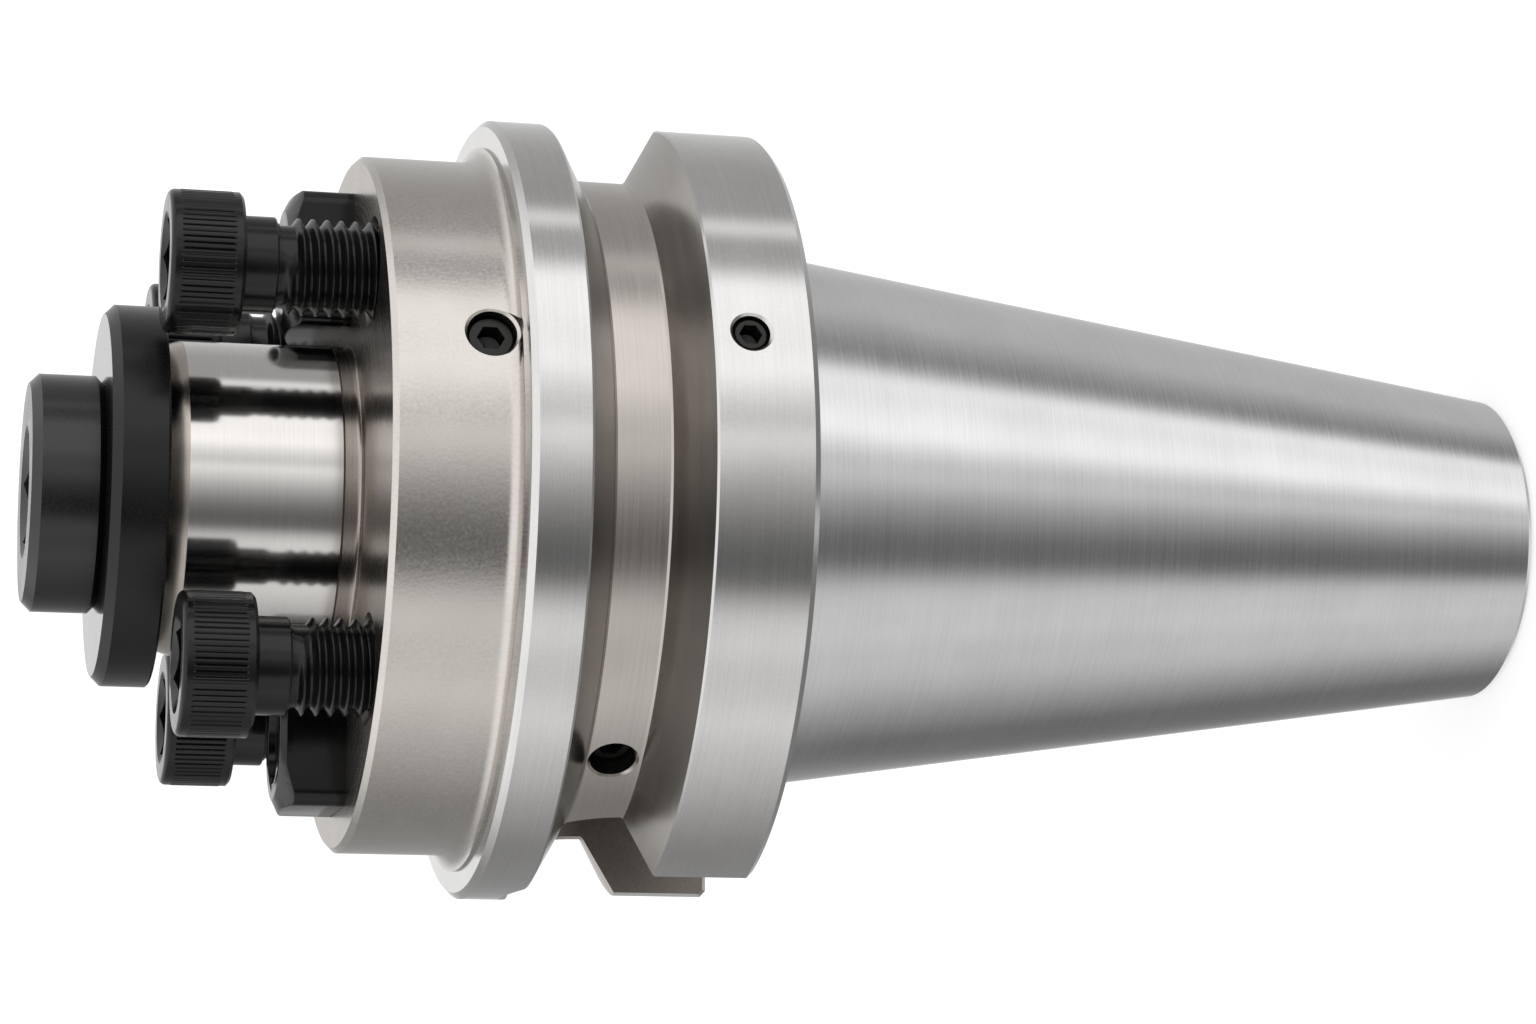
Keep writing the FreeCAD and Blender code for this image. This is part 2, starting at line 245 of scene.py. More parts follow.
# lengths in mm; a mark is a line left by the tool round the axis, grain and cloud are specks and patches;
# markTurn says how fast the marks change round the axis and markShare how much they count beside the grain
steelLooks = {
    "hub": {
        "roughness": 0.23, "roughVary": 0.05, "anisotropy": 0.0, "grainTurn": 0.0, "markPitch": 0.3,
        "markTurn": 6.0, "markShare": 0.1, "grainSize": 0.42, "cloudSize": 7.0, "depth": 0.011,
        "dark": (0.53, 0.50, 0.465), "light": (0.63, 0.60, 0.565),
    },
    "ring": {
        "roughness": 0.18, "roughVary": 0.03, "anisotropy": 0.45, "grainTurn": 0.25, "markPitch": 0.17,
        "markTurn": 2.0, "markShare": 0.65, "grainSize": 0.30, "cloudSize": 9.0, "depth": 0.0014,
        "dark": (0.56, 0.55, 0.54), "light": (0.70, 0.69, 0.68),
    },
    "taper": {
        "roughness": 0.18, "roughVary": 0.03, "anisotropy": 0.45, "grainTurn": 0.0, "markPitch": 0.19,
        "markTurn": 1.6, "markShare": 0.75, "grainSize": 0.30, "cloudSize": 11.0, "depth": 0.0015,
        "dark": (0.55, 0.55, 0.55), "light": (0.70, 0.70, 0.70),
    },
    # the groove's floor: a warm satin finish, darker than the ring partly as painted shade in the groove
    "groove": {
        "roughness": 0.24, "roughVary": 0.04, "anisotropy": 0.2, "grainTurn": 0.0, "markPitch": 0.28,
        "markTurn": 2.0, "markShare": 0.8, "grainSize": 0.25, "cloudSize": 8.0, "depth": 0.0025,
        "dark": (0.45, 0.42, 0.39), "light": (0.55, 0.515, 0.48),
    },
    # the groove's walls: the same turned steel as its floor, darker in colour as painted shade in the groove
    "grooveWall": {
        "roughness": 0.20, "roughVary": 0.03, "anisotropy": 0.0, "grainTurn": 0.0, "markPitch": 0.28,
        "markTurn": 2.0, "markShare": 0.8, "grainSize": 0.25, "cloudSize": 8.0, "depth": 0.0010,
        "dark": (0.34, 0.32, 0.30), "light": (0.44, 0.415, 0.39),
    },
    "pilot": {
        "roughness": 0.13, "roughVary": 0.02, "anisotropy": 0.35, "grainTurn": 0.0, "markPitch": 0.16,
        "markTurn": 1.6, "markShare": 0.9, "grainSize": 0.25, "cloudSize": 9.0, "depth": 0.0006,
        "dark": (0.62, 0.60, 0.58), "light": (0.70, 0.68, 0.66),
    },
    "lead": {
        "roughness": 0.22, "roughVary": 0.03, "anisotropy": 0.0, "grainTurn": 0.0, "markPitch": 0.16,
        "markTurn": 1.6, "markShare": 0.9, "grainSize": 0.25, "cloudSize": 4.0, "depth": 0.0010,
        "dark": (0.40, 0.355, 0.31), "light": (0.55, 0.50, 0.45),
    },
    "seat": {
        "roughness": 0.26, "roughVary": 0.04, "anisotropy": 0.0, "grainTurn": 0.0, "markPitch": 0.20,
        "markTurn": 1.6, "markShare": 0.9, "grainSize": 0.25, "cloudSize": 6.0, "depth": 0.0015,
        "dark": (0.28, 0.25, 0.22), "light": (0.42, 0.385, 0.345),
    },
    # the milled slots: dark brown, partly their duller milled finish and partly painted shade in the slots
    "slot": {
        "roughness": 0.40, "roughVary": 0.05, "anisotropy": 0.0, "grainTurn": 0.0, "markPitch": 0.30,
        "markTurn": 6.0, "markShare": 0.1, "grainSize": 0.35, "cloudSize": 6.0, "depth": 0.006,
        "dark": (0.24, 0.215, 0.19), "light": (0.34, 0.31, 0.275),
    },
    # inside the holes and bores: near-black steel, its darkness painted shade in the holes
    "bore": {
        "roughness": 0.38, "roughVary": 0.05, "anisotropy": 0.0, "grainTurn": 0.0, "markPitch": 0.30,
        "markTurn": 2.0, "markShare": 0.6, "grainSize": 0.30, "cloudSize": 6.0, "depth": 0.004,
        "dark": (0.10, 0.095, 0.09), "light": (0.20, 0.19, 0.18),
    },
}
steels = {key: steel(key + "Steel", look) for key, look in steelLooks.items()}
blackLooks = {
    "washer": {
        "roughness": 0.27, "roughVary": 0.05, "grainSize": 0.30, "cloudSize": 5.0, "depth": 0.0025,
        "ior": 1.37, "dark": (0.004, 0.004, 0.004), "light": (0.009, 0.009, 0.009),
    },
    "face": {
        "roughness": 0.11, "roughVary": 0.02, "grainSize": 0.30, "cloudSize": 6.0, "depth": 0.0004,
        "ior": 1.50, "dark": (0.008, 0.008, 0.008), "light": (0.012, 0.012, 0.012),
    },
    "screw": {
        "roughness": 0.20, "roughVary": 0.07, "grainSize": 0.22, "cloudSize": 2.5, "depth": 0.0030,
        "ior": 1.41, "dark": (0.002, 0.002, 0.002), "light": (0.008, 0.008, 0.008),
    },
    "head": {
        "roughness": 0.24, "roughVary": 0.09, "grainSize": 0.30, "cloudSize": 5.0, "depth": 0.0035,
        "ior": 1.55, "dark": (0.003, 0.003, 0.003), "light": (0.010, 0.010, 0.010),
    },
    "key": {
        "roughness": 0.18, "roughVary": 0.04, "grainSize": 0.30, "cloudSize": 4.0, "depth": 0.0015,
        "ior": 1.37, "dark": (0.002, 0.002, 0.002), "light": (0.006, 0.006, 0.006),
    },
    "plug": {
        "roughness": 0.30, "roughVary": 0.05, "grainSize": 0.25, "cloudSize": 2.0, "depth": 0.0040,
        "ior": 1.40, "dark": (0.005, 0.0045, 0.004), "light": (0.014, 0.012, 0.010),
    },
}
blacks = {key: blackOxide(key + "Black", look) for key, look in blackLooks.items()}


# the steel holder: one turned skin with its two drive slots, then the holes cut in it
body = {
    "slope": 7 / 48, "gaugeRadius": 34.925, "tail": -101.8, "tailChamfer": 0.8,
    "drawbarRadius": 10.5, "drawbarTop": -39.8, "studRadius": 12.5, "studTop": -89.8,
    "tailMouth": 13.3, "tailMouthTop": -101.0, "drillAngle": 59,
    "taperOver": 1.0, "neckRadius": 34.6, "neckStart": 1.4,
    "flangeRadius": 50.0, "flangeBack": 3.0, "flangeFront": 38.0, "flangeChamfer": 0.8,
    "grooveBack": 15.7, "grooveFront": 30.7, "grooveFloor": 43.0, "grooveBreak": 0.2, "grooveAngle": 30,
    "hubRadius": 44.5, "hubFace": 53.7, "hubChamfer": 0.7, "hubFillet": 2.0, "shoulder": 38.35,
    "pilotRadius": 20.0, "pilotEnd": 77.7, "leadLength": 2.7, "leadDepth": 0.8,
    "reliefWidth": 2.5, "reliefDepth": 0.3, "reliefFillet": 0.8,
    "threadRadius": 10.05, "threadChamfer": 1.0, "threadDepth": 50.0, "drillPoint": 6.0,
    "slotHalf": 12.85, "slotFloor": 35.4, "slotStop": 19.6, "slotBreak": 0.5,
    # how finely the skin is cut: columns in half a turn, and how many crowd beside a slot
    "columns": 160, "squeezed": 22, "squeezeTo": 24.0, "filletStep": 7.5, "reliefStep": 9.0,
    "slotArcStep": 4.5, "rowGap": 0.12, "floorSteps": (4.0, 8.0),
    # how deep below the turned skin a hole or the groove begins, and how much a groove wall faces the axis
    "skinDepth": 0.05, "wallLean": 0.7,
}
body["tailRadius"] = body["gaugeRadius"] + body["tail"] * body["slope"]


def grooveOutline():
    # the V-groove from its rear edge to its front edge, both with a broken corner
    b = body
    lean = math.radians(b["grooveAngle"])
    run = (b["flangeRadius"] - b["grooveFloor"]) * math.tan(lean)
    edge, top, floor = b["grooveBreak"], b["flangeRadius"], b["grooveFloor"]
    low, high = b["grooveBack"], b["grooveFront"]
    slant, rise = edge * math.cos(lean), edge * math.sin(lean)
    back = [(top, low - edge), (top - slant, low + rise),
            (floor + slant, low + run - rise), (floor, low + run + edge)]
    front = [(r, low + high - z) for r, z in reversed(back)]
    return back + front


def hollow(radius, bottom, bend, step):
    # a hollow quarter round from a face at the given height up to a wall at the given radius
    turns = [math.radians(step * n) for n in range(int(90 / step) + 1)]
    return [(radius + bend - bend * math.sin(t), bottom + bend - bend * math.cos(t)) for t in turns]


def taperOutline():
    # the bores in the small end, then the taper up to the back of the flange
    b = body
    chamfer = b["tailChamfer"]
    drill = b["drawbarRadius"] / math.tan(math.radians(b["drillAngle"]))
    return [
        (0, b["drawbarTop"] + drill), (b["drawbarRadius"], b["drawbarTop"]),
        (b["drawbarRadius"], b["studTop"]), (b["studRadius"], b["studTop"]),
        (b["studRadius"], b["tailMouthTop"]), (b["tailMouth"], b["tail"]),
        (b["tailRadius"] - chamfer, b["tail"]), (b["tailRadius"] + chamfer * b["slope"], b["tail"] + chamfer),
        (b["gaugeRadius"], 0), (b["gaugeRadius"] + b["slope"] * b["taperOver"], b["taperOver"]),
        (b["neckRadius"], b["neckStart"]), (b["neckRadius"], b["flangeBack"]),
    ]


def flangeOutline():
    edge, back, chamfer = body["flangeRadius"], body["flangeBack"], body["flangeChamfer"]
    return [(edge - chamfer, back), (edge, back + chamfer)] + grooveOutline()


def noseOutline():
    # the front of the flange, the hub, the pilot and the threaded bore in its end
    b = body
    edge, face, end = b["flangeRadius"], b["hubFace"], b["pilotEnd"]
    bottom, bore = b["pilotRadius"] - b["reliefDepth"], b["threadRadius"]
    return (
        [(edge, b["flangeFront"] - b["flangeChamfer"]), (edge - b["flangeChamfer"], b["flangeFront"]),
         (b["hubRadius"] + b["hubFillet"], b["flangeFront"])]
        + hollow(b["hubRadius"], b["shoulder"], b["hubFillet"], b["filletStep"])
        + [(b["hubRadius"], face - b["hubChamfer"]), (b["hubRadius"] - b["hubChamfer"], face)]
        + hollow(bottom, face, b["reliefFillet"], b["reliefStep"])
        + [(bottom, face + b["reliefWidth"] - b["reliefDepth"]), (b["pilotRadius"], face + b["reliefWidth"]),
           (b["pilotRadius"], end - b["leadLength"]), (b["pilotRadius"] - b["leadDepth"], end),
           (bore + b["threadChamfer"], end), (bore, end - b["threadChamfer"]), (bore, end - b["threadDepth"]),
           (0, end - b["threadDepth"] - b["drillPoint"])]
    )


def radiusAt(outline, z):
    # radius of an outline at a height, or that of its last point beyond its end
    for (r0, z0), (r1, z1) in zip(outline, outline[1:]):
        if z0 <= z <= z1 and z1 > z0:
            return r0 + (r1 - r0) * (z - z0) / (z1 - z0)
    return outline[-1][0]


def slotRows(flange):
    # rows of the skin that the slots interrupt: radius, z, half width outside the broken edge, inner corner
    half, floor, stop, broken = body["slotHalf"], body["slotFloor"], body["slotStop"], body["slotBreak"]
    wide = half + broken
    back, front, edge = body["flangeBack"], body["flangeFront"], body["flangeRadius"]
    rows = [{"r": math.hypot(floor, x), "z": back, "x": x} for x in body["floorSteps"]]
    rows.append({"r": math.hypot(floor, wide), "z": back, "x": wide, "inner": (half, floor, back + broken)})
    tip = stop + wide
    whole = flange + [(edge, front)]
    turns = [z for r, z in flange if stop < z < tip]
    step = body["slotArcStep"]
    arcs = [stop + wide * math.sin(math.radians(step * n)) for n in range(1, int(90 / step))]
    extra = [z for z in arcs if all(abs(z - other) > body["rowGap"] for other in turns)]
    path = [(r, z) for r, z in flange if z < tip] + [(radiusAt(whole, z), z) for z in extra]
    path.sort(key=lambda place: (place[1], -place[0] if place[1] > back else place[0]))
    for n, (r, z) in enumerate(path):
        if z <= stop:  # beside the straight walls; further on the wall is the round end
            before = path[n - 1] if n else (r - 1, z)
            after = path[n + 1]
            normals = []
            for (r0, z0), (r1, z1) in ((before, (r, z)), ((r, z), after)):
                long = math.hypot(r1 - r0, z1 - z0)
                normals.append(((z1 - z0) / long, -(r1 - r0) / long))
            (a0, a1), (b0, b1) = normals
            share = broken / (1 + a0 * b0 + a1 * b1)
            ri, zi = r - (a0 + b0) * share, z - (a1 + b1) * share
            rows.append({"r": r, "z": z, "x": wide, "inner": (half, math.sqrt(ri * ri - half * half), zi)})
            continue
        x = math.sqrt(max(wide * wide - (z - stop) ** 2, 0))
        xi, zi = x * half / wide, stop + (z - stop) * half / wide
        yi = math.sqrt(radiusAt(flange, zi) ** 2 - xi * xi) - broken
        rows.append({"r": r, "z": z, "x": x, "inner": (xi, yi, zi)})
    r = radiusAt(whole, tip)
    rows.append({"r": r, "z": tip, "x": 0.0, "inner": (0.0, r - broken, stop + half)})
    return rows


def columnAngles(start):
    # degrees of the columns on one side, from one slot's edge to the other's, crowded beside both
    columns, squeezed, edge = body["columns"], body["squeezed"], body["squeezeTo"]
    angles = []
    for n in range(columns + 1):
        k = min(n, columns - n)
        if k <= squeezed:
            t = start + (edge - start) * k / squeezed
        else:
            t = edge + (90 - edge) * (k - squeezed) / (columns / 2 - squeezed)
        angles.append(t if n <= columns / 2 else 180 - t)
    return angles


def addFace(faces, corners):
    # a face without doubled corners, left out where it shrinks to a line
    face = list(dict.fromkeys(corners))
    if len(face) > 2:
        faces.append(face)


def holderSkin():
    # one closed skin in an east and a west half, which meet at the middles of the slots
    flange = flangeOutline()
    slots = slotRows(flange)
    rows = [{"r": r, "z": z} for r, z in taperOutline()]
    rows.append({"r": body["slotFloor"], "z": body["flangeBack"]})
    first = len(rows)
    rows += slots
    last = len(rows) - 1
    rest = [place for place in flange if place[1] > slots[-1]["z"]] + noseOutline()
    rows += [{"r": r, "z": z} for r, z in rest]
    columns = body["columns"]
    points, faces = [], []
    for row in rows:
        r, z, x = row["r"], row["z"], row.get("x", 0.0)
        if r == 0:
            points.append((0, 0, z))
            row["east"] = row["west"] = [len(points) - 1] * (columns + 1)
            continue
        turns = columnAngles(math.degrees(math.asin(x / r)))
        row["east"], row["west"] = [], []
        for side, sign in (("east", 1), ("west", -1)):
            for n, t in enumerate(turns):
                if side == "west" and x == 0 and n in (0, columns):
                    row[side].append(row["east"][n])
                    continue
                a = math.radians(t)
                points.append((sign * r * math.sin(a), r * math.cos(a), z))
                row[side].append(len(points) - 1)
    for low, high in zip(rows, rows[1:]):
        for side in ("east", "west"):
            for n in range(columns):
                addFace(faces, [low[side][n], low[side][n + 1], high[side][n + 1], high[side][n]])
    for end, sign in ((0, 1), (columns, -1)):
        addSlot(points, faces, rows, first, last, end, sign)
    return points, faces


def addSlot(points, faces, rows, first, last, end, sign):
    # broken edges, walls and floor of one slot, sharing the skin's own points
    floor, hair = body["slotFloor"], 1e-6
    inner, under = {"east": [], "west": []}, {"east": [], "west": []}
    broken = [k for k in range(first, last + 1) if "inner" in rows[k]]
    for side, way in (("east", 1), ("west", -1)):
        for k in broken:
            x, y, z = rows[k]["inner"]
            shared = side == "west" and x == 0
            points.append((way * x, sign * y, z))
            inner[side].append(inner["east"][-1] if shared else len(points) - 1)
            if not under[side]:
                under[side].append(inner[side][0])
            elif abs(z - points[under[side][-1]][2]) < hair:
                under[side].append(under[side][-1])
            else:
                points.append((way * x, sign * floor, z))
                under[side].append(under["east"][-1] if shared else len(points) - 1)
        for n in range(len(broken) - 1):
            a, b = rows[broken[n]][side][end], rows[broken[n + 1]][side][end]
            addFace(faces, [a, b, inner[side][n + 1], inner[side][n]])
            addFace(faces, [inner[side][n], inner[side][n + 1], under[side][n + 1], under[side][n]])
    line = [rows[k]["west"][end] for k in range(broken[0], first - 1, -1)]
    line += [rows[first - 1]["east"][end]]
    line += [rows[k]["east"][end] for k in range(first, broken[0] + 1)]
    faces.append(line + [under["east"][0], under["west"][0]])
    for n in range(len(broken) - 1):
        addFace(faces, [under["east"][n], under["east"][n + 1], under["west"][n + 1], under["west"][n]])


# what is cut out of the skin: the clamp screws' holes, the plugs' holes and the drive keys' seats
holes = {
    "clampCircle": 35.0, "clampRadius": 6.05, "clampDepth": 33.0, "clampChamfer": 0.8, "clampPoint": 3.6,
    "keyLength": 17.5, "keyWidth": 16.0, "keyCentre": 30.75, "keyFloor": 48.7, "keyCorner": 2.0,
    # a plug's hole: radius of the face it enters, bearing, z, its own radius, depth
    "plugs": ((44.5, 18.0, 41.6, 3.05, 8.4), (50.0, 16.3, 11.1, 2.35, 7.7), (43.0, -55.0, 23.2, 2.85, 9.6)),
    "plugMouth": 0.35, "plugPoint": 0.6, "clampSides": 72, "plugSides": 48, "cornerStep": 15,
}


def pocketSolid():
    # the seat of one drive key, along X: a block with round corners
    h = holes
    corner = h["keyCorner"]
    long, wide = h["keyLength"] / 2 - corner, h["keyWidth"] / 2 - corner
    outline = []
    for cx, cy, start in ((1, 1, 0), (-1, 1, 90), (-1, -1, 180), (1, -1, 270)):
        for n in range(90 // h["cornerStep"] + 1):
            turn = math.radians(start + h["cornerStep"] * n)
            outline.append((cx * long + corner * math.cos(turn), cy * wide + corner * math.sin(turn)))
    count = len(outline)
    points = [(x, y, z) for z in (h["keyFloor"], body["hubFace"] + 1) for x, y in outline]
    faces = [[n, (n + 1) % count, count + (n + 1) % count, count + n] for n in range(count)]
    faces += [list(range(count))[::-1], list(range(count, 2 * count))]
    return points, faces


def holeCutters():
    h, face, mouth = holes, body["hubFace"], holes["plugMouth"]
    radius, bottom, chamfer = h["clampRadius"], face - h["clampDepth"], h["clampChamfer"]
    points, faces = spun([(0, face + 1), (radius + chamfer + 1, face + 1), (radius, face - chamfer),
                          (radius, bottom), (0, bottom - h["clampPoint"])], h["clampSides"])
    parts = [(placedPoints(points, h["clampCircle"], bearing, 0), faces) for bearing in (45, 135, 225, 315)]
    for radius, bearing, z, hole, depth in h["plugs"]:
        points, faces = spun([(0, 2), (hole + mouth, 2), (hole + mouth, 0), (hole, -mouth), (hole, -depth),
                              (0, -depth - hole * h["plugPoint"])], h["plugSides"])
        parts.append((radialPoints(points, radius, bearing, z), faces))
    points, faces = pocketSolid()
    for bearing in (90, 270):
        turned = placedPoints(points, 0, 0, 0, bearing)
        parts.append((placedPoints(turned, h["keyCentre"], bearing, 0), faces))
    return meshPiece("holeCutters", *joined(parts))


def steelRegion(x, y, z, normal):
    # which look a face of the holder has, by its middle: its finish, and for the groove, slots and holes also
    # painted shade
    b, h = body, holes
    touch, spare, rim = 0.01, 0.1, 1.5
    r = math.hypot(x, y)
    across = abs(x) if z < b["slotStop"] else math.hypot(x, z - b["slotStop"])
    slotEnd = b["slotStop"] + b["slotHalf"]
    if b["flangeBack"] < z < slotEnd and across < b["slotHalf"] + touch and abs(y) > b["slotFloor"] - touch:
        return "slot"
    middle = h["clampCircle"] / math.sqrt(2)
    mouth = h["clampRadius"] + h["clampChamfer"] + spare
    if z < b["hubFace"] - touch and math.hypot(abs(x) - middle, abs(y) - middle) < mouth:
        return "bore"
    for radius, bearing, height, hole, _ in h["plugs"]:
        turn = math.radians(bearing)
        aside = math.hypot(y * math.cos(turn) - x * math.sin(turn), z - height)
        outward = x * math.cos(turn) + y * math.sin(turn)
        if outward > 0 and aside < hole + touch and r < radius - b["skinDepth"]:
            return "bore"
    if z < b["flangeBack"] - touch:
        return "taper" if r > b["tailRadius"] - rim else "bore"
    if r < b["threadRadius"] + b["threadChamfer"] and z < b["pilotEnd"] - touch:
        return "bore"
    if b["grooveBack"] < z < b["grooveFront"] and r < b["flangeRadius"] - b["skinDepth"]:
        # the walls take the grooveWall look, whose darker colour is painted shade in the groove
        return "grooveWall" if abs(normal.z) > b["wallLean"] else "groove"
    if z <= b["flangeFront"] + touch:
        return "ring"
    if z < b["hubFace"] - touch:
        return "hub"
    if z < b["hubFace"] + b["reliefWidth"] - touch:
        return "seat"
    return "pilot" if z < b["pilotEnd"] - b["leadLength"] else "lead"


def buildHolder():
    points, faces = holderSkin()
    holder = meshPiece("holderSteel", points, faces)
    cutters = holeCutters()
    cut = holder.modifiers.new("holes", "BOOLEAN")
    cut.operation, cut.solver, cut.object = "DIFFERENCE", "EXACT", cutters
    ready = holder.evaluated_get(bpy.context.evaluated_depsgraph_get())
    mesh = bpy.data.meshes.new_from_object(ready)
    holder.modifiers.clear()
    holder.data = mesh
    bpy.data.objects.remove(cutters)
    tidyNormals(holder)
    regions = list(steelLooks)
    holder.data.materials.clear()
    for key in regions:
        holder.data.materials.append(steels[key])
    for face in holder.data.polygons:
        c = face.center / mm
        face.material_index = regions.index(steelRegion(c.x, c.y, c.z, face.normal))
    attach(holder, "root")
    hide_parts("holder_body")
    return holder


print("building the steel holder")
holder = buildHolder()
print("  faces", len(holder.data.polygons))


# socket head cap screws: knurled head, smooth shoulder, relief and a rolled thread
clampScrew = {
    "circle": 35.0, "headRadius": 8.8, "headHeight": 9.0, "headRound": 0.8, "underChamfer": 0.4,
    "knurlTeeth": 72, "knurlDepth": 0.20, "knurlCrown": 0.07, "knurlWidth": 0.20,
    "knurlFrom": 1.15, "knurlTo": 7.7, "knurlEnd": 0.25,
    "knurlShares": (0.65, 0.7),  # the least share of its depth that a groove has, and what chance adds
    "hexAcross": 10.0, "hexDepth": 5.0, "hexMouth": 6.15, "hexPoint": 1.6, "hexSlope": 0.7,
    "tipInset": 0.6, "tipHeight": 0.8, "neckFillet": 0.35, "roundStep": 10, "sharpAngle": 26.0,
    "shank": 6.0, "shoulder": 4.2, "relief": 0.5, "reliefDepth": 0.7,
    "reliefLip": 0.1, "shoulderFoot": 0.2, "shoulderEdge": 0.12, "shoulderLip": 0.15,
    "pitch": 1.75, "threadDepth": 0.95, "threadTo": 20.0, "threadEnd": 0.2, "runOut": 0.3,
    "length": 40.0, "threadColumns": 96,
    # one pitch of the thread from root to root: share of the pitch, share of the depth
    "threadShape": ((0.0, 0.0), (0.07, 0.03), (0.14, 0.14), (0.28, 0.52), (0.41, 0.90), (0.455, 0.985),
                    (0.5, 1.0), (0.545, 0.985), (0.59, 0.90), (0.72, 0.52), (0.86, 0.14), (0.93, 0.03)),
    # bearing: how far the head stands off the hub, and how far the screw is turned
    "stand": {45.0: (16.4, 12.0), -45.0: (14.0, 41.0), -135.0: (11.0, 20.0), 135.0: (14.0, 3.0)},
}


def hexRadius(across, turn):
    return across / 2 / math.cos((turn + math.pi / 6) % (math.pi / 3) - math.pi / 6)


def chance(n):
    # an even spread of numbers from 0 to 1 that is the same each time
    return (math.sin(n * 12.9898 + 4.1) * 43758.5453) % 1.0


def threadSkin(s, core, top, below, above, start):
    # a rolled thread whose rows climb with the helix, closed on a flat ring below and one above
    shape, count, pitch = s["threadShape"], s["threadColumns"], s["pitch"]
    turn, teeth = len(shape), int((s["threadTo"] + top) / pitch) - 1
    last, bottom = turn * teeth, top - pitch * (teeth + 1)
    points, at = [], {}
    for n in range(count):
        for k in range(last + 1 + (turn if n == 0 else 0)):
            share, height = shape[k % turn]
            along = k // turn + n / count
            z = bottom + pitch * (along + share)
            fade = max(0.0, min(1.0, along / s["runOut"], (teeth - along) / s["runOut"]))
            radius = core + s["threadDepth"] * height * fade
            angle = 2 * math.pi * n / count
            points.append((radius * math.cos(angle), radius * math.sin(angle), z))
            at[k, n] = start + len(points) - 1
    for k in range(last + 1):
        at[k, count] = at[k + turn, 0]
    faces = [[at[k, n], at[k, n + 1], at[k + 1, n + 1], at[k + 1, n]]
             for n in range(count) for k in range(last)]
    faces += [[below[n], below[n + 1], at[0, n + 1], at[0, n]] for n in range(count - 1)]
    faces.append([below[-1], below[0]] + [at[k, 0] for k in range(turn + 1)] + [at[0, count - 1]])
    faces += [[at[last, n], at[last, n + 1], above[(n + 1) % count], above[n]] for n in range(1, count)]
    faces.append([above[0], above[1], at[last, 1]] + [at[k, 0] for k in range(last, last + turn + 1)])
    return points, faces


def hexSocket(s, turns, top):
    # the mouth, walls and drilled bottom of a hexagon socket in a face at the given height
    mouth, walls = s["hexMouth"], [hexRadius(s["hexAcross"], turn) for turn in turns]
    bottom = top - s["hexDepth"]
    return [[(mouth, top)] * len(turns), [(wall, top - (mouth - wall) * s["hexSlope"]) for wall in walls],
            [(wall, bottom) for wall in walls], [(0, bottom - s["hexPoint"])]]


def knurlCuts(s, columns):
    # every fourth column lies in a groove of its own depth, and the one between two grooves on a crown
    cuts = [0.0] * columns
    least, more = s["knurlShares"]
    for n in range(0, columns, 4):
        cuts[n] = s["knurlDepth"] * (least + more * chance(n))
        cuts[n + 2] = -s["knurlCrown"] * chance(n + 2)
    return cuts


def clampScrewMesh(s):
    # rows run from the tip up to the thread, then from its relief over the head and down into the socket
    teeth, wide, few = s["knurlTeeth"], s["knurlWidth"], s["threadColumns"]
    shares = (0.0, wide, 0.5, 1.0 - wide)
    turns = [2 * math.pi * (n + share) / teeth for n in range(teeth) for share in shares]
    columns, tip = len(turns), -s["length"]
    core, shank = s["shank"] - s["threadDepth"], s["shank"]
    under, relief = -s["shoulder"], s["shank"] - s["reliefDepth"]
    ground, hair = under - s["relief"], 0.02
    below = [[(0, tip)]] + [[place] * few for place in (
        (core - s["tipInset"], tip), (core, tip + s["tipHeight"]), (core, -s["threadTo"] - s["threadEnd"]))]
    rows = [[place] * few for place in (
        (core, ground + hair), (relief, ground + s["reliefLip"]), (relief, under - s["shoulderFoot"]),
        (shank - s["shoulderEdge"], under - hair), (shank, under + s["shoulderLip"]),
        (shank, -s["neckFillet"]), (shank + s["neckFillet"], 0))]
    edge, top, bend = s["headRadius"], s["headHeight"], s["headRound"]
    rows += [[(edge - s["underChamfer"], 0)] * columns, [(edge, s["underChamfer"])] * columns]
    cuts, low, high, end = knurlCuts(s, columns), s["knurlFrom"], s["knurlTo"], s["knurlEnd"]
    rows += [[(edge - share * cut, z) for cut in cuts]
             for z, share in ((low, 0), (low + end, 1), (high - end, 1), (high, 0))]
    for n in range(90 // s["roundStep"] + 1):
        t = math.radians(s["roundStep"] * n)
        rows.append([(edge - bend * (1 - math.cos(t)), top - bend * (1 - math.sin(t)))] * columns)
    rows += hexSocket(s, turns, top)
    lower = skinned(below)
    points, faces = joined([lower, skinned(rows, turns)])
    seam = len(lower[0])
    thread = threadSkin(s, core, ground, range(seam - few, seam), range(seam, seam + few), len(points))
    return points + thread[0], faces + thread[1]


def buildClampScrews(s):
    points, faces = clampScrewMesh(s)
    parts = []
    for bearing, (stand, spin) in s["stand"].items():
        parts.append((placedPoints(points, s["circle"], bearing, body["hubFace"] + stand, spin), faces))
    screws = meshPiece("clampScrewsBlack", *joined(parts), s["sharpAngle"])
    screws.data.materials.append(blacks["screw"])
    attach(screws, "root")
    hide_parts("clamp_screws")
    return screws


print("building the clamp screws")
clampScrews = buildClampScrews(clampScrew)
print("  faces", len(clampScrews.data.polygons))


# the retaining screw and the disc it holds on the pilot
retaining = {
    "discRadius": 24.1, "discBack": 77.7, "discFront": 84.7, "discChamfer": 1.2, "discHole": 10.5,
    "discEdge": 0.3, "discSides": 256,
    "headRadius": 15.0, "headFront": 93.7, "headChamfer": 1.2, "headUnder": 0.8,
    "shank": 10.0, "tip": 39.7, "tipChamfer": 1.5,
    "hexAcross": 14.0, "hexDepth": 6.0, "hexMouth": 8.5, "hexPoint": 14 / 6, "hexSlope": 0.7,
    "spin": 12.0, "columns": 240,
}


